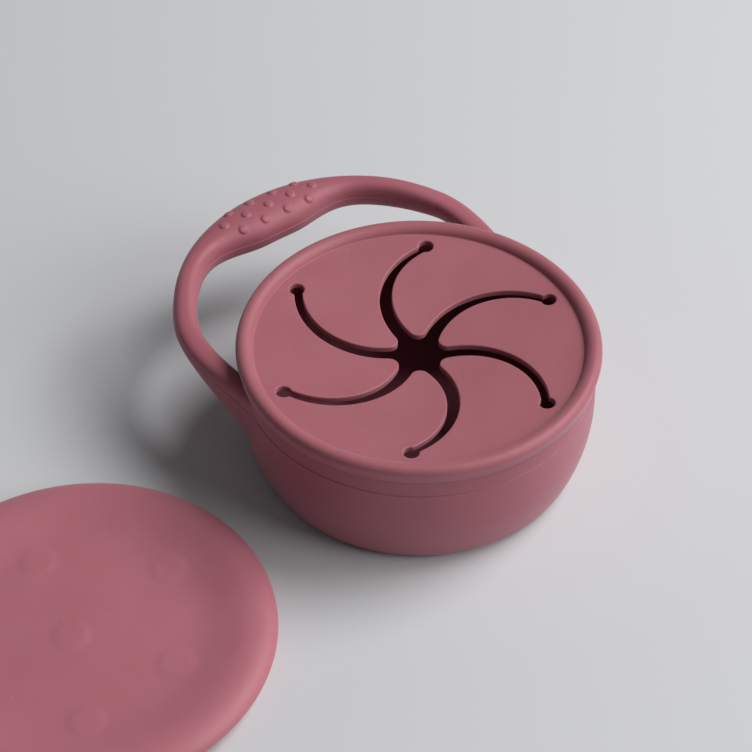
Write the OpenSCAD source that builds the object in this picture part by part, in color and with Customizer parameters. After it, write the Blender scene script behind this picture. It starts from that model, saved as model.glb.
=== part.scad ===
// Toddler snack container, moulded in soft silicone: a round pot with a loop
// handle, a press-on lid whose six curved flaps let a small hand reach in,
// and a loose cover that presses over the lid.
// The origin is the centre of the pot's base, +Z is up, and the handle points
// along +X. The cover lies beside the pot, the right way up.

/* [Pot] */
// Outer diameter of the pot's wall where it is widest
pot_d = 102; // [90:0.5:125]
// Height of the pot's bare rim above the base
pot_h = 39.4; // [38:0.2:60]
// Height at which the wall is widest
belly_z = 21.5; // [16:0.5:24]
// Radius of the bow of the wall below its widest height
bow_r = 52; // [46:1:90]
// How far the wall draws in from the belly to the rim band
top_draw = 0.35; // [0.1:0.05:1]
// Thickness of the wall
wall_t = 2.5; // [2:0.1:3.4]
// Thickness of the floor
floor_t = 3; // [2:0.2:5]
// Radius of the outer bottom corner
foot_r = 5; // [3:0.5:7]
// Radius of the inner bottom corner
inner_r = 8; // [5:0.5:10]
// Height of the mould's parting line on the pot
part_z = 30.2; // [27:0.1:31]
// How far the wall below the parting line stands proud of the band above it
part_h = 0.16; // [0.1:0.02:0.3]

/* [Handle] */
// How far the outside of the grip stands off from the pot's wall
handle_out = 33; // [27:0.1:45]
// How far the handle's outline would pass beside the pot's wall if its ends were not drawn in
handle_side = 5.3; // [4:0.1:14]
// Distance from the pot's axis to the middle of the handle's outline
handle_mid_x = 20; // [16:0.1:26]
// Squareness of the handle's outline, 2 is an ellipse
handle_square = 2.05; // [2:0.05:2.8]
// How deep the ends of the handle run into the pot's wall
handle_sink = 1.7; // [1:0.1:3]
// Height of the middle of the handle below the pot's rim
handle_drop = 5.6; // [5:0.1:9]
// Width of a leg, seen from above
leg_w = 6.9; // [6:0.1:9]
// Height of a leg
leg_h = 9.1; // [8:0.1:11]
// Width of the grip, seen from above
grip_w = 15.7; // [10:0.1:17]
// Height of the grip
grip_h = 11.7; // [9:0.1:14]
// Half length of the wide part of the grip
grip_half = 23.4; // [16:0.1:28]
// Squareness of the handle's cross-section
section_square = 2.8; // [2:0.1:3.4]
// How much lower the underside of each leg is where it runs out into the pot's wall
leg_flare = 14; // [0:0.5:16]
// How far the top of each leg sinks below the lid's lip at its end
leg_dip = 1; // [0:0.1:2]
// Clearance between the top of each leg and the lid's lip above it
leg_gap = 0.3; // [0.2:0.05:0.8]

/* [Grip dots] */
// Distance between neighbouring dots in a row
dot_pitch = 8; // [6:0.1:9]
// Distance between the three rows
dot_rows = 4.15; // [3.4:0.05:4.6]
// Diameter of a dot
dot_d = 2.8; // [1.6:0.1:3.2]
// Height of a dot
dot_h = 0.55; // [0.3:0.05:0.9]

/* [Lid] */
// How far the lid's rolled rim stands out past the pot's wall
rim_out = 1; // [0.8:0.05:2]
// Radius of the roll on its outer side
roll_r = 2.1; // [1.8:0.1:2.4]
// Radius of the roll on its inner side
roll_in_r = 2.9; // [2.6:0.1:3]
// Height of the roll above the pot's rim
roll_rise = 2.25; // [2:0.05:2.4]
// How far the lip reaches down outside the pot's rim
lip_depth = 2.9; // [2:0.1:4]
// How far the lip draws in to its lower edge
lip_draw = 0.55; // [0.2:0.05:0.7]
// Length of the plug inside the pot, below the pot's rim
plug_depth = 6; // [4:0.2:9]
// Thickness of the plug
plug_t = 3; // [2:0.1:4]
// Clearance between the lid and the pot's rim, on each side
lid_gap = 0.15; // [0.1:0.05:0.3]
// Clearance between the lid's groove and the top of the pot's rim
seat_gap = 0.1; // [0.05:0.05:0.3]
// Thickness of the dished sheet
sheet_t = 2.5; // [2:0.1:3]
// Depth of the sheet's edge below the pot's rim
sheet_drop = 0.2; // [0:0.05:1]
// How far the sheet dips from its edge to its centre
dish_h = 4.1; // [2:0.1:5]

/* [Flaps] */
// Number of flaps
flap_n = 6; // [6:1:6]
// Turn of the first slot's end hole from the handle's direction
flap_turn = 20.3; // [0:0.1:59]
// Distance from the edge of the sheet to the end holes' centres
hole_in = 2.5; // [2.4:0.1:5]
// Diameter of the round hole at the end of a slot
hole_d = 4.1; // [3.4:0.1:4.4]
// How far a hole's centre lies outside the middle of its slot
hole_off = 0.9; // [0.5:0.05:1.1]
// How far the middle of each slot passes from the lid's centre
star_gap = 2.4; // [2:0.05:3]
// Direction from the slot curve's centre to the slot's end hole
slot_lead = 31.5; // [30:0.5:33]
// Width of a slot's ring at its narrowest
slot_min = 1.1; // [0.9:0.05:1.4]
// Width of a slot's ring at its widest, opposite the narrowest
slot_max = 4.95; // [4.4:0.05:5.4]
// Direction in which a slot's ring is narrowest, from the curve's centre
slot_narrow_at = -2; // [-12:1:8]
// Radius of a flap's tip
tip_r = 2.7; // [1.8:0.1:3]
// Point on the next slot's curve where a flap's bending line ends
root_at = 60; // [52:1:70]
// Radius of a flap's rounded root
root_r = 1; // [0.7:0.05:1.1]
// Clearance beside a flap's root
root_gap = 0.1; // [0.08:0.01:0.2]

/* [Cover] */
// Clearance between the cover's skirt and the lid's roll
cover_gap = 0.2; // [0.15:0.05:0.5]
// Thickness of the cover's skirt
cover_wall = 1.15; // [1:0.05:2]
// Height of the cover
cover_h = 8.35; // [8:0.05:11]
// Radius of the cover's rounded lip
cover_lip_r = 2.13; // [1.9:0.01:2.4]
// Width of the lip, seen from above
cover_lip_w = 3.75; // [3.5:0.05:4]
// Width of the hollow slope inside the lip
cover_slope_w = 9.5; // [7:0.1:13]
// How far the flat middle lies below the top of the lip
cover_sink = 3.55; // [2:0.05:4]
// Thickness of the flat middle
cover_t = 1.8; // [1.4:0.1:2.4]
// Clearance between the cover's ceiling and the top of the lid
cover_top_gap = 0.2; // [0.1:0.05:0.4]
// Free space between the lid's rim and the cover that lies beside it
cover_clear = 14.26; // [5:0.01:40]
// Direction from the pot's axis to the cover
cover_way = 93.4; // [90:0.1:100]

/* [Hidden] */
$fn = 96;
eps = 0.01;
part_step = 0.12;
rose = [0.70, 0.43, 0.47];
deep_rose = [0.64, 0.36, 0.41];

// Pot
pot_r = pot_d / 2;
band_r = pot_r - top_draw;
bore_r = band_r - wall_t;
bow_c = [pot_r - bow_r, belly_z];

// Handle
handle_reach = pot_r + handle_out;
handle_a = handle_reach - handle_mid_x;
handle_b = pot_r + handle_side;
handle_z = pot_h - handle_drop;
leg_top = min(leg_h / 2, handle_drop - lip_depth - leg_gap - leg_dip);

// Lid
rim_r = pot_r + rim_out;
roll_x = rim_r - roll_r;
roll_top = pot_h + roll_rise;
roll_z = roll_top - roll_r;
flank_r = roll_x - roll_in_r;
plug_r = bore_r - lid_gap;
sheet_r = plug_r - plug_t;
sheet_z = pot_h - sheet_drop;
dish_slope = dish_h / sheet_r;
crease_z = sheet_z + dish_slope * (flank_r - sheet_r);
crease_r = roll_x - sqrt(roll_in_r * roll_in_r - pow(crease_z - roll_top + roll_in_r, 2));

// Flaps
hole_ring = sheet_r - hole_in;
hole = [hole_ring, 0];
slot_way = [cos(slot_lead), sin(slot_lead)];
slot_start = hole - hole_off * slot_way;
slot_r = (slot_start * slot_start - star_gap * star_gap) / (2 * (star_gap + slot_start * slot_way));
slot_c = slot_start - slot_r * slot_way;
slot_half = (slot_min + slot_max) / 4;
slot_shift = (slot_max - slot_min) / 4 * [cos(slot_narrow_at), sin(slot_narrow_at)];
edge_in_r = slot_r - slot_half;
edge_in_c = slot_c + slot_shift;
edge_out_r = slot_r + slot_half;
edge_out_c = slot_c - slot_shift;
step = 360 / flap_n;
next_c = turned(edge_out_c, -step);
root_end = turned(edge_out_c + edge_out_r * [cos(root_at), sin(root_at)], -step);
root_len = norm(root_end - hole);
root_dir = atan2(root_end[1] - hole[1], root_end[0] - hole[0]);
root_mid = norm((root_end + hole) / 2);
root_z = sheet_z - dish_slope * (sheet_r - (root_mid + hole_ring) / 2) - sheet_t / 2;
root_open = 25;
tip_c = meet(edge_in_c, edge_in_r - tip_r, next_c, edge_out_r + tip_r, -1);
tip_a = edge_in_c + (tip_c - edge_in_c) * edge_in_r / (edge_in_r - tip_r);
tip_b = next_c + (tip_c - next_c) * edge_out_r / (edge_out_r + tip_r);

// Cover
skirt_in = rim_r + cover_gap;
cover_r = skirt_in + cover_wall;
cover_at = (rim_r + cover_clear + cover_r) * [cos(cover_way), sin(cover_way)];
cover_ceiling = lip_depth + roll_rise + cover_top_gap;
lip_c = [cover_r - cover_lip_r, cover_h - cover_lip_r];
lip_in = cover_r - cover_lip_w;
lip_in_z = lip_c[1] + sqrt(cover_lip_r * cover_lip_r - (lip_c[0] - lip_in) * (lip_c[0] - lip_in));
panel_r = lip_in - cover_slope_w;
panel_top = cover_h - cover_sink;
slope_power = 1.6;
slope_steps = 10;

// A point of the plane turned about the origin
function turned(p, a) = [p[0] * cos(a) - p[1] * sin(a), p[0] * sin(a) + p[1] * cos(a)];

// Where two circles meet, on the left (1) or right (-1) of the line from a to b
function meet(a, ra, b, rb, side) =
    let (d = norm(b - a), u = (b - a) / d,
         x = (d * d + ra * ra - rb * rb) / (2 * d), y = sqrt(ra * ra - x * x))
    a + x * u + side * y * [-u[1], u[0]];

// Smooth step from 0 to 1 between a and b
function ease(a, b, x) = let (t = max(0, min(1, (x - a) / (b - a)))) t * t * (3 - 2 * t);

// Half of the pot's section, from the axis to a wall with a bow, a corner and
// a fine ledge at the parting line
module wall_half(bow, band, corner, z0, top, ledge) {
    k = [bow_c[0] + sqrt((bow - corner) * (bow - corner) - pow(belly_z - z0 - corner, 2)), z0 + corner];
    u = (k - bow_c) / (bow - corner);
    t = bow_c + u * bow;
    belly = bow_c[0] + bow;
    polygon([[0, z0], [k[0], z0], k, t, [0, t[1]]]);
    intersection() {
        translate(k) circle(r = corner);
        polygon([k, [k[0], z0 - 1], [k[0] + 2 * corner, z0 - 1], k + 3 * corner * u]);
    }
    intersection() {
        translate(bow_c) circle(r = bow);
        translate([0, t[1]]) square([belly + 1, belly_z - t[1]]);
    }
    polygon([[0, belly_z - 2], [belly - 1, belly_z - 2], [belly, belly_z], [band + ledge, part_z],
        [band, part_z + part_step], [band, top], [0, top]]);
}

module pot_outline() {
    wall_half(bow_r, band_r, foot_r, 0, pot_h, part_h);
}

module pot_solid() {
    rotate_extrude() pot_outline();
}

// The round pot: bowed wall, flat base, rounded rim and the parting line
module pot_bowl() color(rose) rotate_extrude() difference() {
    pot_outline();
    wall_half(bow_r - wall_t - top_draw, bore_r, inner_r, floor_t, pot_h + 1, 0);
    difference() {
        translate([bore_r - 1, pot_h - wall_t / 2]) square([wall_t + 3, wall_t]);
        translate([bore_r + wall_t / 2, pot_h - wall_t / 2]) circle(r = wall_t / 2);
    }
}

// Handle: its outer contour is a superellipse in plan, drawn in at its ends to
// run out along the pot's wall. Each ring of points is a rounded section, widest
// at the grip. Towards the wall its underside comes down in a deep web, its top
// dips under the lid's lip, and its parting line sinks to the pot's own.
function contour(a) =
    let (k = pow(pow(abs(cos(a)) / handle_a, handle_square)
               + pow(abs(sin(a)) / handle_b, handle_square), -1 / handle_square),
         p = [handle_mid_x + k * cos(a), k * sin(a)],
         r = norm(p), drawn = r - (r - pot_r + handle_sink) * ease(43, 90, abs(atan2(p[1], p[0]))))
    p * drawn / r;

function inward(a) = let (t = contour(a + 0.5) - contour(a - 0.5), n = norm(t)) [-t[1], t[0]] / n;

function handle_width(a) =
    leg_w + (grip_w - leg_w) * exp(-pow(handle_a * abs(a) * PI / 180 / grip_half, 3));

function handle_half_h(a) =
    leg_h / 2 + (grip_h - leg_h) / 2 * exp(-pow(handle_a * abs(a) * PI / 180 / grip_half, 3));

function section(w, top, middle, bottom) = [for (low = [0, 1], i = [0:12])
    let (a = 15 * i + 180 * low, c = cos(a), s = sin(a),
         k = pow(pow(abs(c), section_square) + pow(abs(s), section_square), -1 / section_square),
         z = (i % 12 == 0) ? part_step * (0.5 - low) : k * s * (low ? middle - bottom : top - middle))
    [k * c * (w / 2 + low * part_h), middle + z]];

handle_span = 116;
handle_rings = [for (i = [-handle_span:4:handle_span])
    let (p = contour(i), n = inward(i), w = handle_width(i), h = handle_half_h(i),
         turn = abs(atan2(p[1], p[0])), top = handle_z + h + min(0, leg_top - h) * ease(27, 60, turn),
         middle = handle_z + (part_z - handle_z) * ease(40, 80, turn),
         bottom = handle_z - h - leg_flare * ease(45, 80, turn))
    [for (q = section(w, top, middle, bottom)) let (at = p + n * (w / 2 - q[0])) [at[0], at[1], q[1]]]];

module loft(rings) {
    n = len(rings[0]);
    m = len(rings);
    polyhedron(points = [for (r = rings) for (p = r) p],
        faces = concat([[for (j = [n - 1:-1:0]) j]],
            [for (i = [0:m - 2]) for (j = [0:n - 1]) let (k = (j + 1) % n)
                each [[i * n + j, i * n + k, (i + 1) * n + k],
                      [i * n + j, (i + 1) * n + k, (i + 1) * n + j]]],
            [[for (j = [0:n - 1]) (m - 1) * n + j]]));
}

// Height of the grip's top at a distance across it from its middle
function grip_top(x) = handle_z
    + grip_h / 2 * pow(1 - pow(abs(x) / (grip_w / 2), section_square), 1 / section_square);

// Three staggered rows of low round dots on top of the grip
module dots() {
    for (row = [-1:1], i = [-2:2]) {
        x = row * dot_rows;
        y = (i + (row == 0 ? 0 : 0.5)) * dot_pitch;
        if (row == 0 || i < 2) translate([handle_reach - grip_w / 2 + x, y, grip_top(x)]) hull() {
            translate([0, 0, -1]) cylinder(d = dot_d, h = 1, $fn = 20);
            cylinder(d = dot_d * 0.8, h = dot_h * 0.6, $fn = 20);
            cylinder(d = dot_d * 0.4, h = dot_h, $fn = 20);
        }
    }
}

module handle() color(rose) {
    difference() {
        union() {
            loft(handle_rings);
            dots();
        }
        pot_solid($fn = 144);
    }
}

// The lid's rolled rim, with the groove that grips the pot's rim and the plug
module lid_rim() color(rose) {
    lip_in_r = band_r + lid_gap;
    plug_z = pot_h - plug_depth + plug_t / 2;
    rotate_extrude() difference() {
        union() {
            intersection() {
                translate([roll_x, roll_z]) circle(r = roll_r);
                translate([roll_x, roll_z]) square([roll_r + 1, roll_r + 1]);
            }
            intersection() {
                translate([roll_x, roll_top - roll_in_r]) circle(r = roll_in_r);
                translate([flank_r - 1, crease_z]) square([roll_in_r + 1, roll_in_r]);
            }
            polygon([[sheet_r, pot_h - 1], [roll_x, pot_h - 1], [roll_x, crease_z], [crease_r, crease_z],
                [sheet_r, sheet_z]]);
            polygon([[roll_x, pot_h - lip_depth], [rim_r - lip_draw, pot_h - lip_depth], [rim_r, roll_z],
                [roll_x, roll_z]]);
            translate([sheet_r, plug_z]) square([plug_t, pot_h - plug_z + eps]);
            translate([sheet_r + plug_t / 2, plug_z]) circle(r = plug_t / 2);
        }
        translate([plug_r, pot_h - lip_depth - 1]) square([lip_in_r - plug_r, lip_depth + 1 + seat_gap]);
        translate([plug_r, pot_h - plug_depth - 1]) square([2, plug_depth]);
    }
}

module dished_sheet() {
    rotate_extrude() polygon([[0, sheet_z - dish_h - sheet_t], [sheet_r, sheet_z - sheet_t],
        [sheet_r, sheet_z], [0, sheet_z - dish_h]]);
}

// Places its children at a flap's root: +X runs along the bending line, away
// from the flap's own end hole, and -Y points into the flap
module at_root() {
    translate([hole[0], hole[1], root_z]) rotate([0, 0, root_dir]) children();
}

// Half plane on the flap's side of its bending line, set back by a distance
module flap_side(back) {
    translate(hole) rotate(root_dir) translate([-80, -120 + back]) square([160, 120]);
}

module slot_2d() {
    intersection() {
        difference() {
            translate(edge_out_c) circle(r = edge_out_r);
            translate(edge_in_c) circle(r = edge_in_r);
        }
        translate(slot_c) polygon(concat([[0, 0]], [for (a = [slot_lead:20:slot_lead + 120])
            (slot_r * 1.6) * [cos(a), sin(a)]]));
    }
    translate(hole) circle(d = hole_d);
}

// Everything inside the roots of the flaps: flaps, slots and the star between
module flap_field() {
    circle(r = 8);
    for (i = [0:flap_n - 1]) rotate(i * step) {
        slot_2d();
        intersection() {
            translate(edge_in_c) circle(r = edge_in_r + eps);
            flap_side(root_r + root_gap);
        }
        translate(hole) rotate(root_dir) translate([0, -root_r])
            square([root_len + 1, 2 * root_r + root_gap]);
    }
}

// Plain ring of the sheet outside the flaps
module lid_sheet() color(rose) {
    difference() {
        dished_sheet();
        linear_extrude(height = 60) rotate(flap_turn) flap_field();
    }
}

// Outline of one flap: inside its own slot's curve, outside the next slot's,
// with a rounded tip at the star
module flap_outline() {
    along = (tip_b - tip_a) / norm(tip_b - tip_a);
    right = [along[1], -along[0]];
    out = norm(tip_a + right) < norm(tip_a) ? right : -right;
    difference() {
        intersection() {
            translate(edge_in_c) circle(r = edge_in_r);
            flap_side(0);
        }
        translate(next_c) circle(r = edge_out_r);
        translate(hole) circle(d = hole_d);
        polygon([tip_a - along, tip_b + along, tip_b + along + 9 * out, tip_a - along + 9 * out]);
    }
    translate(tip_c) circle(r = tip_r);
}

// One flap of the dished sheet; its root is rounded about the bending line
module flap(i) color(deep_rose) rotate([0, 0, flap_turn + i * step]) {
    wide = 60;
    intersection() {
        dished_sheet();
        linear_extrude(height = 60) flap_outline();
        at_root() rotate([90, 0, 90]) translate([0, 0, -wide]) linear_extrude(height = 3 * wide)
            polygon([[0, -root_r], [0, root_r], [-wide, root_r + wide * tan(root_open)],
                [-wide, -root_r - wide * tan(root_open)]]);
    }
    difference() {
        at_root() rotate([0, 90, 0]) cylinder(r = root_r, h = root_len + 4);
        translate([hole[0], hole[1], 0]) cylinder(d = hole_d, h = 60);
        translate([next_c[0], next_c[1], 0]) cylinder(r = edge_out_r, h = 60);
    }
}

module cover_place() {
    translate([cover_at[0], cover_at[1], 0]) children();
}

// Skirt and rounded lip of the cover
module cover_rim() color(rose) cover_place() rotate_extrude() {
    translate([skirt_in, 0]) square([cover_wall, lip_c[1]]);
    intersection() {
        translate(lip_c) circle(r = cover_lip_r);
        translate([lip_in, cover_ceiling]) square([cover_lip_w + 1, cover_lip_r * 2]);
    }
    translate([lip_in, cover_ceiling]) square([skirt_in - lip_in + eps, lip_c[1] - cover_ceiling]);
}

// Hollow slope and sunk flat middle of the cover
module cover_panel() color(rose) cover_place() rotate_extrude() {
    under = panel_top - cover_t;
    slope = [for (i = [slope_steps:-1:0]) let (t = i / slope_steps)
        [panel_r + t * (lip_in - panel_r), panel_top + pow(t, slope_power) * (lip_in_z - panel_top)]];
    polygon(concat([[0, under], [panel_r, under], [flank_r - 0.3, cover_ceiling - 1.1],
        [flank_r + 1.5, cover_ceiling], [lip_in, cover_ceiling]], slope, [[0, panel_top]]));
}

pot_bowl();
handle();
lid_rim();
lid_sheet();
flap(0);  // flap_1
flap(1);  // flap_2
flap(2);  // flap_3
flap(3);  // flap_4
flap(4);  // flap_5
flap(5);  // flap_6
cover_rim();
cover_panel();
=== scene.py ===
# %% [markdown]
# # A toddler snack container in soft silicone
# The object is a round pot with a loop handle, a press-on lid cut into six
# curved flaps, and a loose cover that lies beside it. The lesson builds the
# looks of each piece as a surface worked out with numpy, on top of a fixed
# model that comes from a construction program. First that model is loaded.

# %% Load the fixed model
import math

import bpy
import numpy as np
from mathutils import Matrix, Vector
from mathutils.geometry import delaunay_2d_cdt


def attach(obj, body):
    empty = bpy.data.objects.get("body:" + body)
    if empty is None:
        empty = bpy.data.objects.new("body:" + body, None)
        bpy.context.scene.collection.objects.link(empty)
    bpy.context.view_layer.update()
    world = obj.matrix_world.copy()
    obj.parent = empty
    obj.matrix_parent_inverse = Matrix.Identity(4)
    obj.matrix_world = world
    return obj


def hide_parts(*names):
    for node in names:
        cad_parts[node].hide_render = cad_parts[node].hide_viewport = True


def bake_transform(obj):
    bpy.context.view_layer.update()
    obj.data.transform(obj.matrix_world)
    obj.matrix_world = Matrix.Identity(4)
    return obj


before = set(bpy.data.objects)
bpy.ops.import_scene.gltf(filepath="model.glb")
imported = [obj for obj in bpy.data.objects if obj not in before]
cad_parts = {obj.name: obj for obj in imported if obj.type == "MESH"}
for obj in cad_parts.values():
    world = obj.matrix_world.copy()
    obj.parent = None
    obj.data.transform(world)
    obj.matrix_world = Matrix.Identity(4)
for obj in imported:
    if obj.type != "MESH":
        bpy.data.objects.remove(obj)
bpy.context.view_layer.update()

# %% [markdown]
# ## The camera
# A product picture is usually taken from some distance with a long lens, so
# that circles stay calm ellipses. The camera could be aimed with a Track To
# constraint, but here its three axes are written down, which fixes its small
# roll as well.

# %% Set the camera
MM = 0.001
camera_place = Vector((-0.36444, 0.28280, 0.48092))
looking = Vector((0.57397, -0.42162, -0.70200)).normalized()
camera_roll = math.radians(-0.117)
level_right = looking.cross(Vector((0, 0, 1))).normalized()
level_up = level_right.cross(looking)
right = math.cos(camera_roll) * level_right + math.sin(camera_roll) * level_up
up = right.cross(looking)

camera = bpy.data.objects.new("camera", bpy.data.cameras.new("camera"))
camera.data.lens = 107.70
camera.data.sensor_width = 36
camera.data.clip_start = 0.05
camera.matrix_world = Matrix(
    (
        (right.x, up.x, -looking.x, camera_place.x),
        (right.y, up.y, -looking.y, camera_place.y),
        (right.z, up.z, -looking.z, camera_place.z),
        (0, 0, 0, 1),
    )
)
bpy.context.scene.collection.objects.link(camera)
bpy.context.scene.camera = camera
print("camera is", round(camera_place.length, 3), "m from the pot's base")

# %% [markdown]
# ## Surfaces from arrays
# Every piece below is a grid of points with two parameters, and the faces are
# the cells of that grid. One helper turns such arrays into a mesh. It also
# measures the volume: each face, with the origin, spans a thin pyramid, and the
# signed sum of the pyramids is positive when the faces point outwards. If the
# sum is negative, all faces are turned round.

# %% Helpers for grids and meshes
SHARP_DEGREES = 40


def grid_faces(rows, columns, wrap_rows=False, wrap_columns=False):
    """Four corners for each cell of a grid whose points are numbered row by row."""
    r = np.arange(rows if wrap_rows else rows - 1)[:, None]
    c = np.arange(columns if wrap_columns else columns - 1)[None, :]
    r2, c2 = (r + 1) % rows, (c + 1) % columns
    cells = np.stack([r * columns + c, r * columns + c2, r2 * columns + c2, r2 * columns + c], -1)
    return cells.reshape(-1, 4)


def volume_of(points, faces):
    """A sixth of the sum, over fans of triangles, of a . (b x c)."""
    total = 0.0
    for group in faces:
        for k in range(1, group.shape[1] - 1):
            a, b, c = points[group[:, 0]], points[group[:, k]], points[group[:, k + 1]]
            total += np.einsum("ij,ij->", a, np.cross(b, c)) / 6
    return total


def make_piece(name, points, faces, material):
    """Puts points in millimetres and lists of faces into a smooth, outward-facing mesh."""
    volume = volume_of(points, faces)
    if volume < 0:
        faces = [group[:, ::-1] for group in faces]
    sizes = np.concatenate([np.full(len(g), g.shape[1]) for g in faces])
    mesh = bpy.data.meshes.new(name)
    mesh.vertices.add(len(points))
    mesh.vertices.foreach_set("co", (points * MM).astype(np.float32).ravel())
    mesh.loops.add(int(sizes.sum()))
    mesh.loops.foreach_set("vertex_index", np.concatenate([g.ravel() for g in faces]).astype(np.int32))
    mesh.polygons.add(len(sizes))
    mesh.polygons.foreach_set("loop_start", (np.cumsum(sizes) - sizes).astype(np.int32))
    mesh.update(calc_edges=True)
    mesh.validate()
    mesh.shade_smooth()
    mesh.set_sharp_from_angle(angle=math.radians(SHARP_DEGREES))
    mesh.materials.append(material)
    piece = bpy.data.objects.new(name, mesh)
    bpy.context.scene.collection.objects.link(piece)
    low, high = points.min(0), points.max(0)
    print(f"{name}: {len(mesh.polygons)} faces, {abs(volume) / 1000:.2f} cm3,",
          "size", np.round(high - low, 1), "mm")
    return piece


def smooth_step(low, high, x):
    """0 below low, 1 above high, and three squares minus two cubes between."""
    t = np.clip((x - low) / (high - low), 0, 1)
    return t * t * (3 - 2 * t)


def arc(centre, radius, start, end, count):
    """Points on a circle from one direction to another, both in degrees."""
    a = np.radians(np.linspace(start, end, count))
    return np.stack([centre[0] + radius * np.cos(a), centre[1] + radius * np.sin(a)], -1)


def line(start, end, count):
    """Evenly spaced points from start to end."""
    return np.linspace(start, end, count)


def chain(*parts):
    """One polyline from several, without the points that repeat where they join."""
    joined = np.concatenate(parts)
    apart = np.linalg.norm(np.diff(joined, axis=0), axis=1) > 1e-6
    return joined[np.concatenate([[True], apart])]


# %% [markdown]
# ## Turned pieces
# The pot, the rim of the lid and the cover are round, as if made on a lathe. A
# Screw or Spin modifier could turn their sections, but turning the section
# with a product of arrays keeps every number in sight: radius times cosine,
# radius times sine, height.

# %% Turn a section about an upright axis
TURN_STEPS = 360


def turn_ring(section, centre=(0, 0)):
    """A closed section of (radius, height), carried round the axis."""
    a = np.linspace(0, 2 * math.pi, TURN_STEPS, endpoint=False)[:, None]
    r, z = section[None, :, 0], section[None, :, 1]
    points = np.stack([centre[0] + r * np.cos(a), centre[1] + r * np.sin(a), z + 0 * a], -1)
    return points.reshape(-1, 3), [grid_faces(TURN_STEPS, len(section), True, True)]


def turn_solid(section, centre=(0, 0)):
    """A section that starts and ends on the axis; each end is one point with a fan of triangles."""
    inner = section[1:-1]
    points, _ = turn_ring(inner, centre)
    count = len(inner)
    cells = grid_faces(TURN_STEPS, count, True, False)
    poles = np.array([[*centre, section[0, 1]], [*centre, section[-1, 1]]], float)
    here = np.arange(TURN_STEPS)
    ahead = (here + 1) % TURN_STEPS
    first, last = len(points) + 0 * here, len(points) + 1 + 0 * here
    fan_a = np.stack([first, here * count, ahead * count], -1)
    fan_b = np.stack([last, ahead * count + count - 1, here * count + count - 1], -1)
    return np.concatenate([points, poles]), [cells, np.concatenate([fan_a, fan_b])]


# %% [markdown]
# ## Silicone
# Soft silicone is matt, slightly velvety, and lets a little light in. Its
# colour is never quite even: there is a faint cloudiness, and fine dust clings
# to it. Two node groups hold what is shared, the tint with its dust and the
# fine grain. The shader itself stays in the material, with its plain numbers
# on its own sockets.

# %% Node group: tint and dust
def new_group(name, inputs, outputs):
    """A node group with named sockets, and its own input and output nodes."""
    group = bpy.data.node_groups.new(name, "ShaderNodeTree")
    for label, kind, value in inputs:
        socket = group.interface.new_socket(label, in_out="INPUT", socket_type=kind)
        socket.default_value = value
    for label, kind in outputs:
        group.interface.new_socket(label, in_out="OUTPUT", socket_type=kind)
    return group, group.nodes.new("NodeGroupInput"), group.nodes.new("NodeGroupOutput")


def add_node(tree, kind, links=(), **values):
    """A node with some inputs set and others linked; a name in values may be an attribute."""
    node = tree.nodes.new(kind)
    for key, value in values.items():
        if key in node.inputs:
            node.inputs[key].default_value = value
        else:
            setattr(node, key, value)
    for key, source in links:
        tree.links.new(source, node.inputs[key])
    return node


tint, given, made = new_group(
    "silicone tint",
    [
        ("Colour", "NodeSocketColor", (0.4, 0.15, 0.18, 1)),
        ("Cloud colour", "NodeSocketColor", (0.45, 0.18, 0.2, 1)),
        ("Cloud size", "NodeSocketFloat", 60.0),
        ("Dust colour", "NodeSocketColor", (0.6, 0.45, 0.45, 1)),
        ("Dust", "NodeSocketFloat", 0.3),
        ("Roughness", "NodeSocketFloat", 0.5),
    ],
    [("Colour", "NodeSocketColor"), ("Roughness", "NodeSocketFloat")],
)
place = add_node(tint, "ShaderNodeTexCoord").outputs["Object"]
clouds = add_node(tint, "ShaderNodeTexNoise",
                  [("Vector", place), ("Scale", given.outputs["Cloud size"])],
                  Detail=3.0, Roughness=0.55)
cloud_mask = add_node(tint, "ShaderNodeMapRange", [("Value", clouds.outputs[0])],
                      **{"From Min": 0.35, "From Max": 0.7})
clouded = add_node(tint, "ShaderNodeMix", data_type="RGBA")
tint.links.new(cloud_mask.outputs[0], clouded.inputs["Factor"])
tint.links.new(given.outputs["Colour"], clouded.inputs[6])
tint.links.new(given.outputs["Cloud colour"], clouded.inputs[7])
specks = add_node(tint, "ShaderNodeTexVoronoi", [("Vector", place)], Scale=420.0)
speck_mask = add_node(tint, "ShaderNodeMapRange", [("Value", specks.outputs["Distance"])],
                      **{"From Min": 0.16, "From Max": 0.05})
patches = add_node(tint, "ShaderNodeTexNoise", [("Vector", place)], Scale=90.0, Detail=2.0)
patch_mask = add_node(tint, "ShaderNodeMapRange", [("Value", patches.outputs[0])],
                      **{"From Min": 0.5, "From Max": 0.75})
dust_here = add_node(tint, "ShaderNodeMath", [(0, speck_mask.outputs[0]), (1, patch_mask.outputs[0])],
                     operation="MULTIPLY")
dust = add_node(tint, "ShaderNodeMath", [(0, dust_here.outputs[0]), (1, given.outputs["Dust"])],
                operation="MULTIPLY")
dusted = add_node(tint, "ShaderNodeMix", data_type="RGBA")
tint.links.new(dust.outputs[0], dusted.inputs["Factor"])
tint.links.new(clouded.outputs[2], dusted.inputs[6])
tint.links.new(given.outputs["Dust colour"], dusted.inputs[7])
tint.links.new(dusted.outputs[2], made.inputs["Colour"])
rough_shift = add_node(tint, "ShaderNodeMapRange", [("Value", clouds.outputs[0])],
                       **{"From Min": 0.3, "From Max": 0.7, "To Min": -0.03, "To Max": 0.04})
rough_sum = add_node(tint, "ShaderNodeMath",
                     [(0, rough_shift.outputs[0]), (1, given.outputs["Roughness"])])
tint.links.new(rough_sum.outputs[0], made.inputs["Roughness"])
print("tint group has", len(tint.nodes), "nodes")

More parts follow.
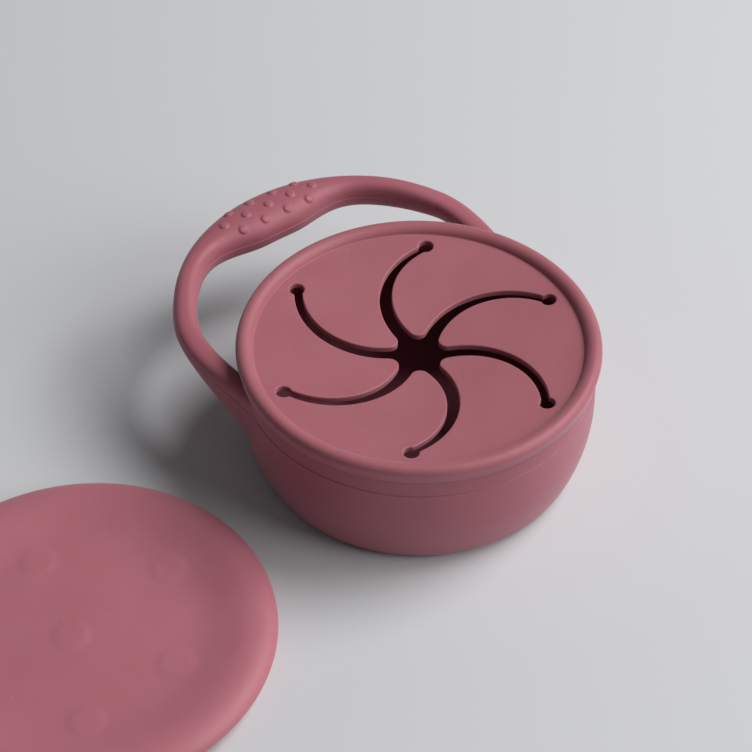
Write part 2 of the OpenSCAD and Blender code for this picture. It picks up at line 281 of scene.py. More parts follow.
# %% [markdown]
# The mould was blasted with fine grit, which leaves a grain of about a fifth
# of a millimetre on the silicone. Under it lies a much broader, weaker
# unevenness, because the soft wall is never perfectly true.

# %% Node group: grain
grain, given, made = new_group(
    "moulded grain",
    [
        ("Grain size", "NodeSocketFloat", 4500.0),
        ("Grain", "NodeSocketFloat", 0.2),
        ("Waves", "NodeSocketFloat", 0.2),
    ],
    [("Height", "NodeSocketFloat")],
)
place = add_node(grain, "ShaderNodeTexCoord").outputs["Object"]
fine = add_node(grain, "ShaderNodeTexNoise", [("Vector", place), ("Scale", given.outputs["Grain size"])],
                Detail=2.0)
broad = add_node(grain, "ShaderNodeTexNoise", [("Vector", place)], Scale=70.0, Detail=1.0)
fine_part = add_node(grain, "ShaderNodeMath", [(0, fine.outputs[0]), (1, given.outputs["Grain"])],
                     operation="MULTIPLY")
broad_part = add_node(grain, "ShaderNodeMath", [(0, broad.outputs[0]), (1, given.outputs["Waves"])],
                      operation="MULTIPLY")
height = add_node(grain, "ShaderNodeMath", [(0, fine_part.outputs[0]), (1, broad_part.outputs[0])])
grain.links.new(height.outputs[0], made.inputs["Height"])


# %% Silicone materials
SILICONE_ROUGHNESS = 0.52


def silicone(name, colour, cloud, dust_amount):
    """Principled shader fed by the two groups, with sheen and a little light under the skin."""
    material = bpy.data.materials.new(name)
    material.use_nodes = True
    tree = material.node_tree
    shader = tree.nodes["Principled BSDF"]
    look = add_node(tree, "ShaderNodeGroup", node_tree=tint)
    look.inputs["Colour"].default_value = (*colour, 1)
    look.inputs["Cloud colour"].default_value = (*cloud, 1)
    look.inputs["Dust"].default_value = dust_amount
    look.inputs["Roughness"].default_value = SILICONE_ROUGHNESS
    rough_grain = add_node(tree, "ShaderNodeGroup", node_tree=grain)
    bump = add_node(tree, "ShaderNodeBump", [("Height", rough_grain.outputs["Height"])],
                    Strength=0.35, Distance=0.00006)
    tree.links.new(look.outputs["Colour"], shader.inputs["Base Color"])
    tree.links.new(look.outputs["Roughness"], shader.inputs["Roughness"])
    tree.links.new(bump.outputs["Normal"], shader.inputs["Normal"])
    shader.inputs["IOR"].default_value = 1.41
    shader.inputs["Subsurface Weight"].default_value = 0.12
    shader.inputs["Subsurface Radius"].default_value = (1.0, 0.35, 0.25)
    shader.inputs["Subsurface Scale"].default_value = 0.0015
    shader.inputs["Sheen Weight"].default_value = 0.22
    shader.inputs["Sheen Roughness"].default_value = 0.45
    shader.inputs["Sheen Tint"].default_value = (1.0, 0.84, 0.95, 1)
    return material


pot_silicone = silicone("pot silicone", (0.364, 0.104, 0.136), (0.384, 0.114, 0.147), 0.25)
lid_silicone = silicone("lid silicone", (0.367, 0.114, 0.140), (0.387, 0.124, 0.151), 0.20)
cover_silicone = silicone("cover silicone", (0.425, 0.137, 0.173), (0.445, 0.147, 0.185), 0.30)

# %% [markdown]
# ## The pot
# The pot is one moulding: a bowed wall, a flat base, a round rim and a fine
# ledge where the two halves of the mould met. Its whole section is one chain
# of arcs and lines, from the middle of the floor, up the inside, over the rim,
# and down the outside to the middle of the base.

# %% Section of the pot
POT_BELLY_R, POT_BELLY_Z, POT_BOW_R = 51.0, 21.5, 52.0
BAND_R, BORE_R, POT_TOP = 50.65, 48.15, 39.4
PART_Z, LEDGE = 30.2, 0.16
bow_centre = np.array([POT_BELLY_R - POT_BOW_R, POT_BELLY_Z])


def wall_corner(bow, corner, z0):
    """Centre of the bottom corner's arc and the direction in which it meets the bow."""
    away = bow - corner
    across = math.sqrt(away**2 - (POT_BELLY_Z - z0 - corner) ** 2)
    centre = np.array([bow_centre[0] + across, z0 + corner])
    return centre, math.degrees(math.asin((centre[1] - POT_BELLY_Z) / away))


def wall_radius(z):
    """Outer radius of the wall at a height: the bow below the belly, then a draw-in to the band."""
    under_belly = np.minimum(z, POT_BELLY_Z) - POT_BELLY_Z
    below = bow_centre[0] + np.sqrt(np.maximum(POT_BOW_R**2 - under_belly**2, 0))
    drawn = (POT_BELLY_R - BAND_R - LEDGE) * smooth_step(POT_BELLY_Z, PART_Z, z)
    ledge = LEDGE * smooth_step(PART_Z - 0.03, PART_Z + 0.13, z)
    groove = 0.05 * np.exp(-(((z - PART_Z - 0.2) / 0.09) ** 2))
    return below - drawn - ledge - groove


foot, foot_turn = wall_corner(POT_BOW_R, 5.0, 0.0)
inside, inside_turn = wall_corner(49.15, 8.0, 3.0)
ledge_heights = np.concatenate(
    [np.linspace(38.1, 31.0, 15), np.linspace(30.8, 29.9, 31), np.linspace(29.6, 21.5, 24)])
pot_section = chain(
    line((0, 3.0), (inside[0], 3.0), 14),
    arc(inside, 8.0, -90, inside_turn, 14),
    arc(bow_centre, 49.15, inside_turn, 0, 10),
    line((BORE_R, POT_BELLY_Z), (BORE_R, 38.15), 8),
    arc((BORE_R + 1.25, 38.15), 1.25, 180, 0, 15),
    np.stack([wall_radius(ledge_heights), ledge_heights], -1),
    arc(bow_centre, POT_BOW_R, 0, foot_turn, 22),
    arc(foot, 5.0, foot_turn, -90, 14),
    line((foot[0], 0), (0, 0), 12),
)
pot_bowl = make_piece("pot_shell", *turn_solid(pot_section), pot_silicone)

# %% [markdown]
# ## The handle
# The handle is a loop that grows out of the wall on both sides. It could be a
# bezier curve with a bevel, but its section changes all the way: slim legs, a
# wide grip, and roots that run out into the wall. So it is a grid. One
# parameter goes along the loop, the other round the section, and both feed one
# function.

# %% The handle as a function of two parameters
REACH, HANDLE_MID, HALF_WIDTH, SQUARENESS = 83.97, 20.0, 56.3, 2.05
HALF_LENGTH = REACH - HANDLE_MID
HANDLE_Z, LEG_W, LEG_H, GRIP_W, GRIP_H, GRIP_HALF = 33.8, 6.9, 9.1, 15.7, 11.7, 23.4
SECTION_SQUARENESS = 2.5
ROOT_TOP_Z = 35.2
LEG_FLARE, HANDLE_LEDGE = 14.0, 0.7 * LEDGE


def outline(a):
    """Outer line of the loop in plan: a superellipse, drawn in where it enters the wall."""
    c, s = np.cos(a), np.sin(a)
    power = (np.abs(c) / HALF_LENGTH) ** SQUARENESS + (np.abs(s) / HALF_WIDTH) ** SQUARENESS
    k = power ** (-1 / SQUARENESS)
    x, y = HANDLE_MID + k * c, k * s
    r = np.hypot(x, y)
    turn = np.degrees(np.abs(np.arctan2(y, x)))
    r2 = r - (r - POT_BELLY_R + 1.7) * smooth_step(43, 90, turn)
    return x * r2 / r, y * r2 / r, turn


def handle_point(a, q):
    """A point of the handle: a along the loop, q round the section. The section is a rounded
    superellipse about a mid-height that sinks to the pot's parting line near the wall."""
    x, y, turn = outline(a)
    step = 1e-3
    x1, y1, _ = outline(a + step)
    x0, y0, _ = outline(a - step)
    length = np.hypot(x1 - x0, y1 - y0)
    in_x, in_y = -(y1 - y0) / length, (x1 - x0) / length
    swell = np.exp(-((HALF_LENGTH * np.abs(a) / GRIP_HALF) ** 3))
    width = LEG_W + (GRIP_W - LEG_W) * swell
    half = LEG_H / 2 + (GRIP_H - LEG_H) / 2 * swell
    top = HANDLE_Z + half + (ROOT_TOP_Z - HANDLE_Z - half) * smooth_step(27, 60, turn)
    bottom = HANDLE_Z - half - LEG_FLARE * smooth_step(45, 80, turn)
    middle = HANDLE_Z - (HANDLE_Z - PART_Z) * smooth_step(40, 80, turn)
    c, s = np.cos(q), np.sin(q)
    k = (np.abs(c) ** SECTION_SQUARENESS + np.abs(s) ** SECTION_SQUARENESS) ** (-1 / SECTION_SQUARENESS)
    z = middle + k * s * np.where(s > 0, top - middle, middle - bottom)
    across = k * c * (width / 2 + HANDLE_LEDGE * (1 - smooth_step(-0.06, 0.06, z - middle)))
    inward = width / 2 - across
    return np.stack([x + in_x * inward, y + in_y * inward, z + 0 * inward], -1)


# %% [markdown]
# Where a leg meets the wall, silicone flows round in a soft fillet. For every
# line that runs along the loop, three things are needed: where it meets the
# wall, where it starts to turn before that, and where it comes to lie on the
# wall. A cubic curve then joins the last two, leaving one and arriving at the
# other along their own directions. On top there is hardly any fillet, because
# the lid's lip has to pass.

# %% The roots of the handle
# q, the directions round the section, stand close together near the parting ledge
SECTION_POINTS = 144
near_ledge = np.radians([-2.4, -1.5, -0.9, -0.5, -0.1, 0.3, 0.7, 1.2, 2.0])
evenly = np.radians(np.linspace(0, 360, SECTION_POINTS - 18, endpoint=False))
off_ledge = np.abs(np.sin(evenly)) > math.sin(math.radians(2.8))
q = np.sort(np.concatenate([evenly[off_ledge], near_ledge % (2 * math.pi), math.pi - near_ledge]))


def meeting(q):
    """Along each line of the loop: the parameter where it is a given distance off the wall."""
    a = np.radians(np.linspace(50, 118, 1361))
    points = handle_point(a[:, None], q[None, :])
    off = np.hypot(points[..., 0], points[..., 1]) - wall_radius(points[..., 2])

    def at(distance):
        first = np.argmax(off < distance[None, :], axis=0)
        here, before = off[first, np.arange(len(q))], off[first - 1, np.arange(len(q))]
        share = (before - distance) / (before - here)
        return a[first - 1] + share * (a[first] - a[first - 1])

    return at


low_side = 1 - smooth_step(-0.1, 0.8, np.sin(q))
start_off = 0.12 + low_side * (1.75 + 0.65 * np.clip(-np.sin(q), 0, 1) + 0.3 * np.clip(-np.cos(q), 0, 1))
run_out = 0.10 + low_side * (3.2 + 0.3 * np.clip(-np.sin(q), 0, 1) - 0.4 * np.clip(-np.cos(q), 0, 1))
at = meeting(q)
a_meet, a_start = at(0 * q), at(start_off)
meet = handle_point(a_meet, q)
around = np.roll(meet, -1, axis=0) - np.roll(meet, 1, axis=0)
flat_normal = meet * [1, 1, 0] / np.hypot(meet[:, 0], meet[:, 1])[:, None]
spread = np.cross(around, flat_normal)
spread /= np.linalg.norm(spread, axis=1)[:, None]
spread *= np.sign(np.sum(spread * (meet - meet.mean(0)), axis=1))[:, None]
print("legs meet the wall between", np.round(np.degrees(np.arctan2(meet[:, 1], meet[:, 0])).min(), 1),
      "and", np.round(np.degrees(np.arctan2(meet[:, 1], meet[:, 0])).max(), 1), "degrees from the grip")


def onto_wall(points, proud):
    """The points moved level, towards or away from the pot's axis, onto its wall."""
    r = np.hypot(points[:, 0], points[:, 1])
    scale = (wall_radius(points[:, 2]) + proud) / r
    return points * np.stack([scale, scale, np.ones_like(scale)], -1)


landing = onto_wall(meet + spread * run_out[:, None], -0.012)
before = onto_wall(meet + spread * (run_out[:, None] - 0.2), -0.012)
arrive = landing - before
arrive /= np.linalg.norm(arrive, axis=1)[:, None]
leave_from = handle_point(a_start, q)
leave = leave_from - handle_point(a_start - 2e-3, q)
leave /= np.linalg.norm(leave, axis=1)[:, None]
turned_by = np.arccos(np.clip(np.sum(leave * arrive, axis=1), -0.999, 0.999))
span = np.linalg.norm(landing - leave_from, axis=1)
reach = 4 / 3 * np.tan(turned_by / 4) / (2 * np.sin(turned_by / 2)) * span
t = np.linspace(0, 1, 25)[1:, None, None]
root = ((1 - t) ** 3 * leave_from + 3 * (1 - t) ** 2 * t * (leave_from + leave * reach[:, None])
        + 3 * (1 - t) * t**2 * (landing - arrive * reach[:, None]) + t**3 * landing)
buried = onto_wall(landing, -1.2)[None]

# %% [markdown]
# Three staggered rows of low round dots give the grip its hold. They are part
# of the same moulding, so they are not separate domes: the grip's own surface
# is raised, along its normal, by a function of the distance to the nearest dot.
# The grid has to be fine there, about a quarter of a millimetre.

# %% The loop with its dots
DOT_PITCH, DOT_ROWS, DOT_R, DOT_H, DOT_X = 8.0, 4.15, 1.42, 0.52, 75.4
dots = np.array([(DOT_X + row * DOT_ROWS, (i + (0 if row == 0 else 0.5)) * DOT_PITCH)
                 for row in (-1, 0, 1) for i in range(-2, 3) if row == 0 or i < 2])


def raised_by_dots(points):
    """The points moved along the surface's normal (the cross product of the steps along and
    across the grid) by a dome round each dot, whose foot is rounded into the grip. Distances
    are taken in space, from the point of the upper side that lies nearest to a dot's plan.
    Only half of the loop is worked out, so the dots of the other half are left out."""
    normal = np.cross(np.gradient(points, axis=0), np.gradient(points, axis=1))
    normal /= np.linalg.norm(normal, axis=-1)[..., None]
    normal *= np.sign(normal[..., 2] * (points[..., 2] - HANDLE_Z)).mean()
    upper = points[points[..., 2] > HANDLE_Z]
    in_plan = np.linalg.norm(upper[:, None, :2] - dots[None, dots[:, 1] > -0.1], axis=2)
    centres = upper[in_plan.argmin(0)]
    gap = np.linalg.norm(points[..., None, :] - centres, axis=-1).min(-1) / DOT_R
    dome = np.sqrt(np.clip(1 - np.minimum(gap, 1) ** 2, 0, 1))
    return points + (DOT_H * smooth_step(0.0, 0.85, dome))[..., None] * normal


grip_steps = np.radians(np.linspace(0, 26, 105))
leg_steps = np.linspace(0, 1, 90)[1:, None]
grip = raised_by_dots(handle_point(grip_steps[:, None], q[None, :]))
leg_a = grip_steps[-1] + (a_start[None, :] - grip_steps[-1]) * leg_steps
half_loop = np.concatenate([grip, handle_point(leg_a, q[None, :]), root, buried])
mirrored = half_loop[:0:-1] * [1, -1, 1]
loop = np.concatenate([mirrored, half_loop])
rows, columns = loop.shape[:2]
ends = [np.arange(columns)[None, ::-1], (np.arange(columns) + (rows - 1) * columns)[None, :]]
handle = make_piece("handle_loop", loop.reshape(-1, 3),
                    [grid_faces(rows, columns, False, True), *ends], pot_silicone)

# %% [markdown]
# ## The rim of the lid
# The lid grips the pot with a groove under a rolled rim. The roll is a little
# rounder inside than outside, and it meets the dished sheet in a tight crease.
# The centre of the crease's small arc lies on a line above the sheet and on a
# circle round the roll, so a quadratic equation gives it. The section goes
# once round: lip, roll, crease, plug and groove.

# %% Section of the lid's rim
RIM_R, ROLL_R, ROLL_IN_R, ROLL_TOP = 52.0, 2.1, 2.9, 41.65
SHEET_R, SHEET_Z, SHEET_T, DISH = 45.0, 39.2, 1.9, 4.1 / 45.0
CREASE_R = 0.4
roll_x, roll_z = RIM_R - ROLL_R, ROLL_TOP - ROLL_R
lip_z, plug_z, groove_z = POT_TOP - 2.9, POT_TOP - 6.0, POT_TOP + 0.1
tilt = math.atan(DISH)
uphill, above = np.array([math.cos(tilt), math.sin(tilt)]), np.array([-math.sin(tilt), math.cos(tilt)])
roll_in = np.array([roll_x, ROLL_TOP - ROLL_IN_R])
gap = np.array([SHEET_R, SHEET_Z]) + CREASE_R * above - roll_in
back = gap @ uphill
crease = roll_in + gap - uphill * (back + math.sqrt(back**2 - gap @ gap + (ROLL_IN_R + CREASE_R) ** 2))
crease_turn = math.degrees(math.atan2(roll_in[1] - crease[1], roll_in[0] - crease[0]))
crease_end = crease - CREASE_R * above
rim_section = chain(
    arc((RIM_R - 0.85, lip_z + 0.3), 0.3, -90, -12, 7),
    line((RIM_R - 0.5, lip_z + 0.5), (RIM_R, roll_z), 6),
    arc((roll_x, roll_z), ROLL_R, 0, 90, 26),
    arc(roll_in, ROLL_IN_R, 90, 180 + crease_turn, 26),
    arc(crease, CREASE_R, crease_turn, math.degrees(tilt) - 90, 10),
    line(crease_end - [0.2, 0.4], (SHEET_R + 0.1, SHEET_Z - 0.6), 3),
    line((SHEET_R, SHEET_Z - 1.0), (SHEET_R, plug_z + 2.0), 4),
    arc((SHEET_R + 1.5, plug_z + 1.5), 1.5, 180, 360, 17),
    line((BORE_R - 0.15, plug_z + 2.0), (BORE_R - 0.15, groove_z), 4),
    line((BORE_R + 0.3, groove_z), (BAND_R + 0.15, groove_z), 4),
    line((BAND_R + 0.15, groove_z - 0.4), (BAND_R + 0.15, lip_z + 0.25), 3),
    line((BAND_R + 0.25, lip_z + 0.05), (BAND_R + 0.4, lip_z), 2),
)
lid_rim = make_piece("lid_roll", *turn_ring(rim_section), lid_silicone)

# %% [markdown]
# ## The flaps
# Six curved slots cut the dished sheet into flaps that a small hand pushes
# aside. Boolean cuts would leave sharp edges, yet the moulded ones are round,
# and that thin line of light is what makes the slots look real. So the edge
# itself is the grid. The outline of one flap is a chain of arcs that touch:
# end hole, corner, own slot, tip, next slot, corner, next end hole. Moving
# into the material by a distance only makes each arc's radius larger or
# smaller by that distance. One parameter therefore runs along the chain and
# the other over the rounded edge.

# %% The chain of arcs round one flap
HOLE_RING, HOLE_R, HOLE_OFF = 42.3, 2.2, 0.5
SLOT_R, SLOT_LEAD, SLOT_MIN, SLOT_MAX, SLOT_NARROW_AT = 23.0, 31.5, 2.0, 4.75, -2.0
TIP_R, CORNER_R = 2.7, 0.75


def heading(degrees):
    """Unit vector of a direction in the plane."""
    return np.array([math.cos(math.radians(degrees)), math.sin(math.radians(degrees))])


def turned(p, degrees):
    """A point of the plane turned about the origin."""
    c, s = heading(degrees)
    return np.array([p[0] * c - p[1] * s, p[0] * s + p[1] * c])


def crossing(a, ra, b, rb, side):
    """Where two circles cross, on the left (1) or right (-1) of the line from a to b."""
    d = np.linalg.norm(b - a)
    u = (b - a) / d
    x = (d * d + ra * ra - rb * rb) / (2 * d)
    return a + x * u + side * math.sqrt(ra * ra - x * x) * np.array([-u[1], u[0]])


def bearing(p, q):
    """Direction in degrees from p to q."""
    return math.degrees(math.atan2(q[1] - p[1], q[0] - p[0]))


hole = np.array([HOLE_RING, 0.0])
next_hole = turned(hole, -60)
slot_centre = hole - (SLOT_R + HOLE_OFF) * heading(SLOT_LEAD)
slot_half = (SLOT_MIN + SLOT_MAX) / 4
slot_shift = (SLOT_MAX - SLOT_MIN) / 4 * heading(SLOT_NARROW_AT)
in_c, in_r = slot_centre + slot_shift, SLOT_R - slot_half
out_c, out_r = turned(slot_centre - slot_shift, -60), SLOT_R + slot_half
tip = crossing(in_c, in_r - TIP_R, out_c, out_r + TIP_R, -1)
corner_a = crossing(hole, HOLE_R + CORNER_R, in_c, in_r - CORNER_R, -1)
corner_b = crossing(next_hole, HOLE_R + CORNER_R, out_c, out_r + CORNER_R, -1)
print("tip", np.round(tip, 2), "corners", np.round(corner_a, 2), np.round(corner_b, 2))

# centre, radius, material outside (+1) or inside (-1), first and last direction
flap_arcs = [
    (hole, HOLE_R, 1, 0.0, bearing(hole, corner_a)),
    (corner_a, CORNER_R, -1, bearing(corner_a, hole), bearing(in_c, corner_a)),
    (in_c, in_r, -1, bearing(in_c, corner_a), bearing(in_c, tip)),
    (tip, TIP_R, -1, bearing(in_c, tip), bearing(tip, out_c)),
    (out_c, out_r, 1, bearing(out_c, tip), bearing(out_c, corner_b)),
    (corner_b, CORNER_R, -1, bearing(corner_b, out_c), bearing(corner_b, next_hole)),
    (next_hole, HOLE_R, 1, bearing(next_hole, corner_b), -60.0),
]


def arc_rows(centre, radius, side, first, last):
    """For each point of one arc: centre, radius, side and direction, every third of a millimetre."""
    sweep = -((first - last) % 360) if side > 0 else (last - first) % 360
    count = max(9, int(math.radians(abs(sweep)) * radius / 0.34))
    a = np.radians(np.linspace(first, first + sweep, count))
    return np.stack([centre[0] + 0 * a, centre[1] + 0 * a, radius + 0 * a, side + 0 * a, a], -1)


rows_of_arcs = [arc_rows(*item) for item in flap_arcs]
chain_rows = np.concatenate([part if i == 0 else part[1:] for i, part in enumerate(rows_of_arcs)])


def edge_point(inset):
    """The chain moved into the material: centre + (radius + side * inset) * direction."""
    r = chain_rows[:, 2, None] + chain_rows[:, 3, None] * inset[None, :]
    a = chain_rows[:, 4, None]
    return np.stack([chain_rows[:, 0, None] + r * np.cos(a), chain_rows[:, 1, None] + r * np.sin(a)], -1)


def sheet_top(xy):
    """Height of the dished sheet: a shallow cone."""
    return SHEET_Z - (SHEET_R - np.hypot(xy[..., 0], xy[..., 1])) * DISH


# %% [markdown]
# The edge's own section is two quarter circles with a straight wall between.
# Inside the edge the flap is filled with triangles: a Delaunay fill over the
# edge's inner line, the outer arc and a field of evenly spaced points.

# %% One flap with its share of the sheet
EDGE_ROUND, UNDER_ROUND, FILL_INSET, FILL_SPACING = 0.38, 0.3, 0.48, 1.0
UNDER_RIM_R = 46.9
round_a = np.radians(np.linspace(0, 90, 9))
edge_inset = np.concatenate([[FILL_INSET], EDGE_ROUND * (1 - np.sin(round_a)), [0.0],
                             UNDER_ROUND * (1 - np.cos(round_a[1:])), [FILL_INSET]])
edge_drop = np.concatenate([[0.0], EDGE_ROUND * (1 - np.cos(round_a)),
                            [(SHEET_T + EDGE_ROUND - UNDER_ROUND) / 2],
                            SHEET_T - UNDER_ROUND * (1 - np.sin(round_a[1:])), [SHEET_T]])


def inside_polygon(points, polygon):
    """Whether each point lies inside: it does if a ray to the right crosses an odd number of sides."""
    a, b = polygon, np.roll(polygon, -1, axis=0)
    x, y = points[:, None, 0], points[:, None, 1]
    spans = (a[:, 1] > y) != (b[:, 1] > y)
    rise = np.where(b[:, 1] == a[:, 1], 1e-12, b[:, 1] - a[:, 1])
    return (np.sum(spans & (x < a[:, 0] + (y - a[:, 1]) / rise * (b[:, 0] - a[:, 0])), axis=1) % 2) == 1


def flap_with_sheet():
    """Points and faces of one flap and its share of the sheet; its end hole lies on +X."""
    plan = edge_point(edge_inset)
    edge = np.concatenate([plan, (sheet_top(plan) - edge_drop)[..., None]], -1)
    along, over = edge.shape[:2]
    outer_a = np.radians(np.linspace(-60, 0, 121))
    outer = UNDER_RIM_R * np.stack([np.cos(outer_a), np.sin(outer_a)], -1)
    border = np.concatenate([plan[:, 0], outer])
    low, high = border.min(0), border.max(0)
    gx, gy = np.meshgrid(np.arange(low[0], high[0], FILL_SPACING),
                         np.arange(low[1], high[1], FILL_SPACING * math.sqrt(3) / 2))
    gx = gx + FILL_SPACING / 2 * (np.arange(gx.shape[0])[:, None] % 2)
    field = np.stack([gx.ravel(), gy.ravel()], -1)
    field = field[inside_polygon(field, border)]
    clear = np.linalg.norm(field[:, None] - border[None], axis=2).min(1) > 0.55 * FILL_SPACING
    field = field[clear]
    flat = np.concatenate([border, field])
    _, _, triangles, origins, _, _ = delaunay_2d_cdt(
        [Vector(p) for p in flat.tolist()], [], [list(range(len(border)))], 1, 1e-6)
    order = np.array([o[0] for o in origins])
    triangles = order[np.array(triangles)]
    edge_count = along * over
    added = np.concatenate([outer, field])
    top = np.concatenate([added, sheet_top(added)[:, None]], -1)
    under = top - [0, 0, SHEET_T]
    points = np.concatenate([edge.reshape(-1, 3), top, under])
    shared = np.arange(along) * over
    top_names = np.concatenate([shared, edge_count + np.arange(len(added))])
    under_names = np.concatenate([shared + over - 1, edge_count + len(added) + np.arange(len(added))])
    outer_top = edge_count + np.arange(len(outer))
    outer_under = outer_top + len(added)
    rim_strip = np.stack([outer_top[:-1], outer_under[:-1], outer_under[1:], outer_top[1:]], -1)
    across_edge = np.arange(over)
    first_side = np.concatenate([across_edge, [outer_under[-1], outer_top[-1]]])[None, ::-1]
    last_side = np.concatenate([(along - 1) * over + across_edge, [outer_under[0], outer_top[0]]])[None]
    faces = [grid_faces(along, over), top_names[triangles], under_names[triangles][:, ::-1],
             rim_strip, first_side, last_side]
    return points, faces


flap_points, flap_faces = flap_with_sheet()
print("one flap:", len(flap_points), "points")

# %% [markdown]
# A straight line from a flap's own end hole to the next slot is worked out,
# but the flaps are not bent: six copies of the one flap are turned round the
# axis, sixty degrees apart, and the fixed model's flaps and sheet are hidden.

# %% The six flaps
FLAP_TURN, ROOT_AT, BEND_BEFORE, BEND_AFTER = 20.05, 60.0, 1.25, 2.2
root_end = out_c + out_r * turned(heading(ROOT_AT), -60)
root_way = (root_end - hole) / np.linalg.norm(root_end - hole)
to_flap = np.array([root_way[1], -root_way[0]])
to_flap *= np.sign(np.dot(to_flap, tip - hole))
flaps = []
for k in range(6):
    angle = FLAP_TURN + 60 * k
    c, s = heading(angle)
    turned_points = flap_points @ np.array([[c, s, 0], [-s, c, 0], [0, 0, 1]])
    piece = make_piece(f"soft_flap_{k + 1}", turned_points, flap_faces, lid_silicone)
    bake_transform(piece)
    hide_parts(f"flap_{k + 1}", "lid_sheet")
    flaps.append(piece)

# %% [markdown]
# ## The cover
# The cover presses over the lid's roll, and its skirt draws in towards the
# floor, to hold on under the roll. Its shoulder is a quarter of a
# superellipse, which is fuller than an ellipse and has no edge anywhere. Inside
# its crest the top sinks to a flat middle. The curve for that leaves the crest
# level, is steepest after a third of the way and arrives level again, so the
# light fades over it without a line. A few broad, very low round swellings lie
# on the top; they are raised by a function of the distance to the nearest one.

# %% Section and swellings of the cover
COVER_AT = np.array([-7.094, 119.399])
COVER_R, COVER_TOP, FOOT_R, FOOT_ROUND, SKIRT_CURVE = 53.35, 9.0, 50.2, 0.45, 1.35
CREST_R, SHOULDER_H, FULLNESS = 45.9, 3.8, 2.2
MIDDLE_R, MIDDLE_TOP, UNDER_R, UNDER_Z, CEILING = 27.0, 6.9, 40.1, 3.0, 5.35
shoulder_a = np.radians(np.linspace(0, 90, 48))
shoulder_x = (COVER_R - CREST_R) * np.cos(shoulder_a) ** (2 / FULLNESS)
shoulder_z = COVER_TOP - SHOULDER_H + SHOULDER_H * np.sin(shoulder_a) ** (2 / FULLNESS)
SKIRT_TOP = COVER_TOP - SHOULDER_H
skirt_share = np.linspace(0, 1, 20)[1:-1]
skirt_x = COVER_R - (COVER_R - FOOT_R) * (1 - skirt_share) ** SKIRT_CURVE
skirt_z = FOOT_ROUND + (SKIRT_TOP - FOOT_ROUND) * skirt_share
sunk_share = np.linspace(0, 1, 56)[1:]
sunk = (COVER_TOP - MIDDLE_TOP) * (1 - (1 - sunk_share) ** 3 * (1 + 3 * sunk_share))
cover_section = chain(
    line((0, UNDER_Z), (UNDER_R, UNDER_Z), 20),
    line((UNDER_R + 0.3, UNDER_Z + 0.06), (46.5, 4.22), 8),
    line((46.8, 4.33), (48.3, 5.24), 5),
    line((48.6, CEILING), (51.4, CEILING), 5),
    arc((51.4, CEILING - 0.4), 0.4, 80, -20, 5),
    line((51.6, CEILING - 0.8), (FOOT_R - 0.95, 0.6), 8),
    arc((FOOT_R - FOOT_ROUND, FOOT_ROUND + 0.01), FOOT_ROUND, 160, 330, 12),
    np.stack([skirt_x, skirt_z], -1),
    np.stack([CREST_R + shoulder_x, shoulder_z], -1),
    np.stack([CREST_R - (CREST_R - MIDDLE_R) * sunk_share, COVER_TOP - sunk], -1),
    line((MIDDLE_R - 0.3, MIDDLE_TOP), (0, MIDDLE_TOP), 76),
)
SWELL_R, SWELL_H = 6.2, 0.2
swellings = COVER_AT + np.array(
    [[26.8, -2.5], [3.2, -30.1], [-0.9, 3.5], [-25.7, -14.1], [-28.1, 15.2], [9.0, 28.0]])
cover_points, cover_faces = turn_solid(cover_section, COVER_AT)
to_swelling = np.linalg.norm(cover_points[:, None, :2] - swellings[None], axis=2).min(1)
on_top = cover_points[:, 2] > MIDDLE_TOP - 0.1
swell = SWELL_H * (1 - smooth_step(0.5 * SWELL_R, SWELL_R, to_swelling))
cover_points[:, 2] += np.where(on_top, swell, 0)
cover = make_piece("press_on_cover", cover_points, cover_faces, cover_silicone)

# %% [markdown]
# ## Which piece moves with which body
# The pot and its handle are one body, the roll belongs to the lid, and the
# cover can be picked up by itself. The plain solids of the fixed model are
# hidden where a finer piece stands for them.

# %% Ride on the bodies
for piece, body, nodes, slot_name in [
    (pot_bowl, "pot", ["pot_bowl"], "pot"),
    (handle, "pot", ["handle"], "pot"),
    (lid_rim, "lid", ["lid_rim"], "lid"),
    (cover, "cover", ["cover_rim", "cover_panel"], "cover"),
]:
    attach(piece, body)
    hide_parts(*nodes)

# %% [markdown]
# ## Floor and light
# The floor is one large pale sheet. Two big soft boxes stand on the right: the
# stronger one high and a little behind the object, the weaker one lower and
# nearer the camera. Light from different lamps simply adds up, so the two make
# one broad shadow whose edge softens with the distance. A weak, even sky fills
# the shadow side. The camera itself sees that sky as pale as the floor, which
# gives low views a plain background and adds no light to the object.

# %% Floor
paper = bpy.data.materials.new("pale floor")
paper.use_nodes = True
paper_shader = paper.node_tree.nodes["Principled BSDF"]
paper_place = add_node(paper.node_tree, "ShaderNodeTexCoord").outputs["Object"]
paper_tone = add_node(paper.node_tree, "ShaderNodeTexNoise", [("Vector", paper_place)],
                      Scale=3.0, Detail=1.0)
paper_mix = add_node(paper.node_tree, "ShaderNodeMix", data_type="RGBA")
paper_mix.inputs[6].default_value = (0.600, 0.607, 0.623, 1)
paper_mix.inputs[7].default_value = (0.640, 0.647, 0.664, 1)
paper.node_tree.links.new(paper_tone.outputs[0], paper_mix.inputs["Factor"])
paper.node_tree.links.new(paper_mix.outputs[2], paper_shader.inputs["Base Color"])
paper_shader.inputs["Roughness"].default_value = 0.9
paper_shader.inputs["Specular IOR Level"].default_value = 0.2
FLOOR_HALF = 1.5
floor_mesh = bpy.data.meshes.new("floor")
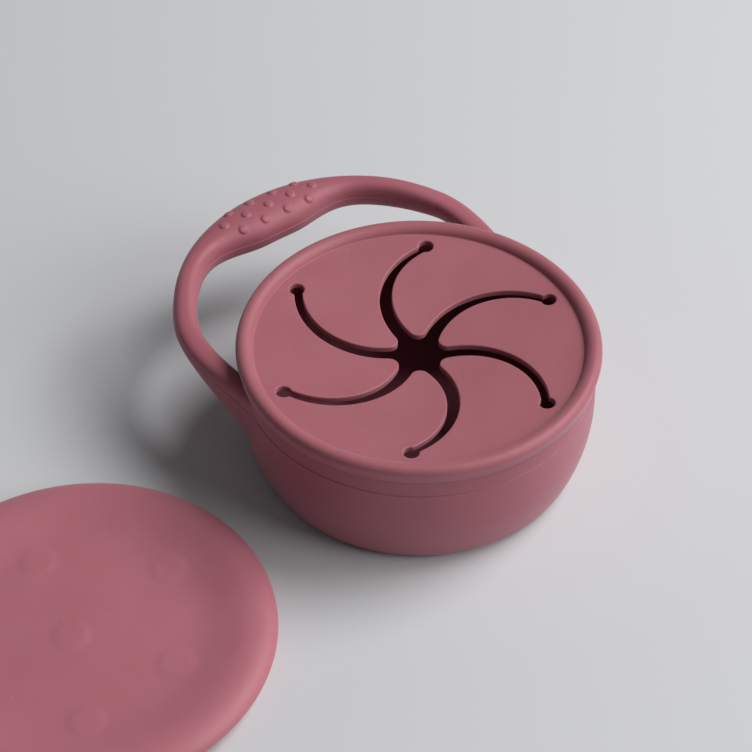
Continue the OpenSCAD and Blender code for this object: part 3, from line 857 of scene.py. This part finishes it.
floor_mesh.from_pydata(
    [(-FLOOR_HALF, -FLOOR_HALF, 0), (FLOOR_HALF, -FLOOR_HALF, 0), (FLOOR_HALF, FLOOR_HALF, 0),
     (-FLOOR_HALF, FLOOR_HALF, 0)], [], [(0, 1, 2, 3)])
floor_mesh.transform(Matrix.Translation((0, 0, -0.00005)))
floor_mesh.materials.append(paper)
floor = bpy.data.objects.new("floor", floor_mesh)
bpy.context.scene.collection.objects.link(floor)

# %% Light
LAMP_TARGET, LAMP_DISTANCE, LAMP_SIZE = (0, 0.03, 0.02), 1.9, 1.15


def soft_lamp(name, towards, watts):
    """A round area lamp that stands in a direction from the target and faces it."""
    lamp = bpy.data.lights.new(name, "AREA")
    lamp.shape = "DISK"
    lamp.size = LAMP_SIZE
    lamp.energy = watts
    holder = bpy.data.objects.new(name, lamp)
    way = Vector(towards).normalized()
    holder.location = Vector(LAMP_TARGET) + way * LAMP_DISTANCE
    holder.rotation_mode = "QUATERNION"
    holder.rotation_quaternion = way.to_track_quat("Z", "Y")
    bpy.context.scene.collection.objects.link(holder)
    return holder


def way_to_light(height, behind):
    """From the camera's right, turned behind the object and lifted, both in degrees."""
    height, behind = math.radians(height), math.radians(behind)
    forward = Vector((looking.x, looking.y, 0)).normalized()
    level = level_right * math.cos(behind) + forward * math.sin(behind)
    return level * math.cos(height) + Vector((0, 0, math.sin(height)))


soft_lamp("high soft box", way_to_light(50, 20), 30.0)
soft_lamp("low soft box", way_to_light(32, -20), 15.8)

SKY_LIGHT, SKY_SEEN = 0.12, 0.62
world = bpy.data.worlds.new("even sky")
world.use_nodes = True
sky = world.node_tree.nodes["Background"]
sky.inputs["Color"].default_value = (0.96, 0.98, 1.0, 1)
ray = add_node(world.node_tree, "ShaderNodeLightPath")
seen = add_node(world.node_tree, "ShaderNodeMapRange", [("Value", ray.outputs["Is Camera Ray"])],
                **{"To Min": SKY_LIGHT, "To Max": SKY_SEEN})
world.node_tree.links.new(seen.outputs[0], sky.inputs["Strength"])
bpy.context.scene.world = world
bpy.context.scene.view_settings.view_transform = "Standard"
